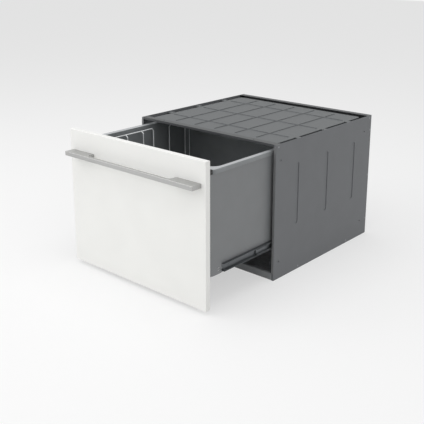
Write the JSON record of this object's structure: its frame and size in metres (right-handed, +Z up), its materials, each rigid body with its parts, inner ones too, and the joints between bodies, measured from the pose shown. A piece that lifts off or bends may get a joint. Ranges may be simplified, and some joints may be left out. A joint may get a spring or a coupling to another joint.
{
  "type": "dishwasher drawer",
  "caption": "Built-in dishwasher drawer: a chassis with a lid, and a tub with racks that pulls out on ball runners behind a flat white front with a bar handle.",
  "frame": {"origin": "centre of the chassis underside, which stands on the shelf", "axes": "+X to the right seen from the front, +Y from the front to the back, +Z up; the drawer is 303 mm open at rest"},
  "size_m": [0.599, 0.9325, 0.47],
  "materials": {
    "chassis_steel": "satin powder coat over sheet steel",
    "galvanised_steel": "galvanised sheet",
    "brace_steel": "satin powder coat",
    "trim_plastic": "fine moulded grain",
    "screw_steel": "zinc plated",
    "guide_plastic": "moulded acetal",
    "runner_steel": "rolled zinc-plated steel",
    "cage_steel": "pressed steel with polished balls",
    "valve_plastic": "moulded nylon",
    "black_plastic": "moulded",
    "lid_plastic": "moulded",
    "seal_rubber": "moulded rubber",
    "tub_plastic": "moulded polypropylene, fine grain",
    "skin_steel": "satin powder coat",
    "inner_sheet": "galvanised sheet",
    "panel_lacquer": "satin white lacquer over board",
    "handle_metal": "brushed along its length",
    "fascia_plastic": "moulded",
    "board_green": "solder mask",
    "lens_plastic": "smoked clear acrylic",
    "button_plastic": "satin chrome-look paint",
    "motor_metal": "die cast",
    "filter_plastic": "moulded",
    "spray_plastic": "moulded",
    "dispenser_plastic": "moulded",
    "cap_plastic": "moulded",
    "rack_nylon": "nylon-coated steel wire",
    "clip_plastic": "moulded",
    "basket_plastic": "moulded"
  },
  "bodies": {
    "chassis": {"chassis_side_left": "chassis_steel", "chassis_side_right": "chassis_steel", "chassis_back": "galvanised_steel", "base_pan": "galvanised_steel", "base_front_rail": "chassis_steel", "top_brace_front": "brace_steel", "top_brace_rear": "brace_steel", "front_trims": "trim_plastic", "chassis_screws": "screw_steel", "lid_guides": "guide_plastic", "lid_actuator_left": "guide_plastic", "lid_actuator_right": "guide_plastic", "chassis_rail_left": "runner_steel", "chassis_rail_right": "runner_steel", "inlet_valve": "valve_plastic", "drain_outlet": "black_plastic", "cable_gland": "black_plastic"},
    "lid": {"lid": "lid_plastic", "lid_seal": "seal_rubber"},
    "middle_left": {"runner_middle_left": "runner_steel"},
    "middle_right": {"runner_middle_right": "runner_steel"},
    "cage_drawer_left": {"ball_cage_drawer_left": "cage_steel"},
    "cage_drawer_right": {"ball_cage_drawer_right": "cage_steel"},
    "cage_chassis_left": {"ball_cage_chassis_left": "cage_steel"},
    "cage_chassis_right": {"ball_cage_chassis_right": "cage_steel"},
    "drawer": {"tub": "tub_plastic", "side_skin_left": "skin_steel", "side_skin_right": "skin_steel", "inner_front": "inner_sheet", "front_panel": "panel_lacquer", "handle": "handle_metal", "handle_screws": "screw_steel", "panel_brackets": "inner_sheet", "panel_screws": "screw_steel", "control_fascia": "fascia_plastic", "end_caps": "black_plastic", "control_board": "board_green", "status_lens": "lens_plastic", "drawer_channel_left": "runner_steel", "drawer_channel_right": "runner_steel", "wash_motor": "motor_metal", "filter_plate": "filter_plastic", "spray_hub": "spray_plastic", "dispenser_body": "dispenser_plastic", "rack_left": "rack_nylon", "rack_right": "rack_nylon", "rack_clips": "clip_plastic", "cutlery_basket": "basket_plastic"},
    "spray_arm": {"spray_arm": "spray_plastic"},
    "drain_filter": {"drain_filter": "cap_plastic"},
    "dispenser_lid": {"dispenser_lid": "dispenser_plastic"},
    "rinse_cap": {"rinse_cap": "cap_plastic"},
    "button_power": {"button_power": "button_plastic"},
    "button_program": {"button_program": "button_plastic"},
    "button_start": {"button_start": "button_plastic"},
    "tines_left_outer": {"tine_row_left_outer": "rack_nylon"},
    "tines_left_inner": {"tine_row_left_inner": "rack_nylon"},
    "tines_right_inner": {"tine_row_right_inner": "rack_nylon"},
    "tines_right_outer": {"tine_row_right_outer": "rack_nylon"},
    "cup_shelf": {"cup_shelf": "rack_nylon"}
  },
  "joints": [
    {"name": "drawer_slide", "type": "slide", "parent": "chassis", "child": "drawer", "axis": [0, -1, 0], "range_m": [-0.301, 0.197]},
    {"name": "middle_slide_left", "type": "slide", "parent": "chassis", "child": "middle_left", "axis": [0, -1, 0], "range_m": [-0.1505, 0.0985]},
    {"name": "cage_drawer_slide_left", "type": "slide", "parent": "chassis", "child": "cage_drawer_left", "axis": [0, -1, 0], "range_m": [-0.22575, 0.14775]},
    {"name": "cage_chassis_slide_left", "type": "slide", "parent": "chassis", "child": "cage_chassis_left", "axis": [0, -1, 0], "range_m": [-0.07525, 0.04925]},
    {"name": "middle_slide_right", "type": "slide", "parent": "chassis", "child": "middle_right", "axis": [0, -1, 0], "range_m": [-0.1505, 0.0985]},
    {"name": "cage_drawer_slide_right", "type": "slide", "parent": "chassis", "child": "cage_drawer_right", "axis": [0, -1, 0], "range_m": [-0.22575, 0.14775]},
    {"name": "cage_chassis_slide_right", "type": "slide", "parent": "chassis", "child": "cage_chassis_right", "axis": [0, -1, 0], "range_m": [-0.07525, 0.04925]},
    {"name": "lid_slide", "type": "slide", "parent": "chassis", "child": "lid", "axis": [0, 0, -1], "range_m": [0, 0.0072]},
    {"name": "spray_arm_turn", "type": "hinge", "parent": "drawer", "child": "spray_arm", "pos_m": [0, -0.307, 0.165], "axis": [0, 0, 1], "continuous": true},
    {"name": "drain_filter_turn", "type": "hinge", "parent": "drawer", "child": "drain_filter", "pos_m": [0.068, -0.307, 0.13], "axis": [0, 0, 1], "range_deg": [0, 90]},
    {"name": "dispenser_lid_hinge", "type": "hinge", "parent": "drawer", "child": "dispenser_lid", "pos_m": [0.006, -0.5328, 0.306], "axis": [-1, 0, 0], "range_deg": [0, 90]},
    {"name": "rinse_cap_turn", "type": "hinge", "parent": "drawer", "child": "rinse_cap", "pos_m": [0.066, -0.539, 0.348], "axis": [0, 1, 0], "range_deg": [0, 90]},
    {"name": "button_power_press", "type": "slide", "parent": "drawer", "child": "button_power", "axis": [0, 0, -1], "range_m": [0, 0.001], "stiffness_N_per_m": 1500},
    {"name": "button_program_press", "type": "slide", "parent": "drawer", "child": "button_program", "axis": [0, 0, -1], "range_m": [0, 0.001], "stiffness_N_per_m": 1500},
    {"name": "button_start_press", "type": "slide", "parent": "drawer", "child": "button_start", "axis": [0, 0, -1], "range_m": [0, 0.001], "stiffness_N_per_m": 1500},
    {"name": "tines_left_outer_fold", "type": "hinge", "parent": "drawer", "child": "tines_left_outer", "pos_m": [-0.138, -0.307, 0.1903], "axis": [0, -1, 0], "range_deg": [0, 90]},
    {"name": "tines_left_inner_fold", "type": "hinge", "parent": "drawer", "child": "tines_left_inner", "pos_m": [-0.08, -0.307, 0.1903], "axis": [0, -1, 0], "range_deg": [0, 90]},
    {"name": "tines_right_inner_fold", "type": "hinge", "parent": "drawer", "child": "tines_right_inner", "pos_m": [0.077, -0.307, 0.1903], "axis": [0, 1, 0], "range_deg": [0, 90]},
    {"name": "tines_right_outer_fold", "type": "hinge", "parent": "drawer", "child": "tines_right_outer", "pos_m": [0.167, -0.307, 0.1903], "axis": [0, 1, 0], "range_deg": [0, 90]},
    {"name": "cup_shelf_fold", "type": "hinge", "parent": "drawer", "child": "cup_shelf", "pos_m": [-0.234, -0.307, 0.333], "axis": [0, -1, 0], "range_deg": [0, 90]}
  ],
  "couplings": [
    {"joint": "middle_slide_left", "follows": "drawer_slide", "ratio": 0.5},
    {"joint": "cage_drawer_slide_left", "follows": "drawer_slide", "ratio": 0.75},
    {"joint": "cage_chassis_slide_left", "follows": "drawer_slide", "ratio": 0.25},
    {"joint": "middle_slide_right", "follows": "drawer_slide", "ratio": 0.5},
    {"joint": "cage_drawer_slide_right", "follows": "drawer_slide", "ratio": 0.75},
    {"joint": "cage_chassis_slide_right", "follows": "drawer_slide", "ratio": 0.25}
  ]
}
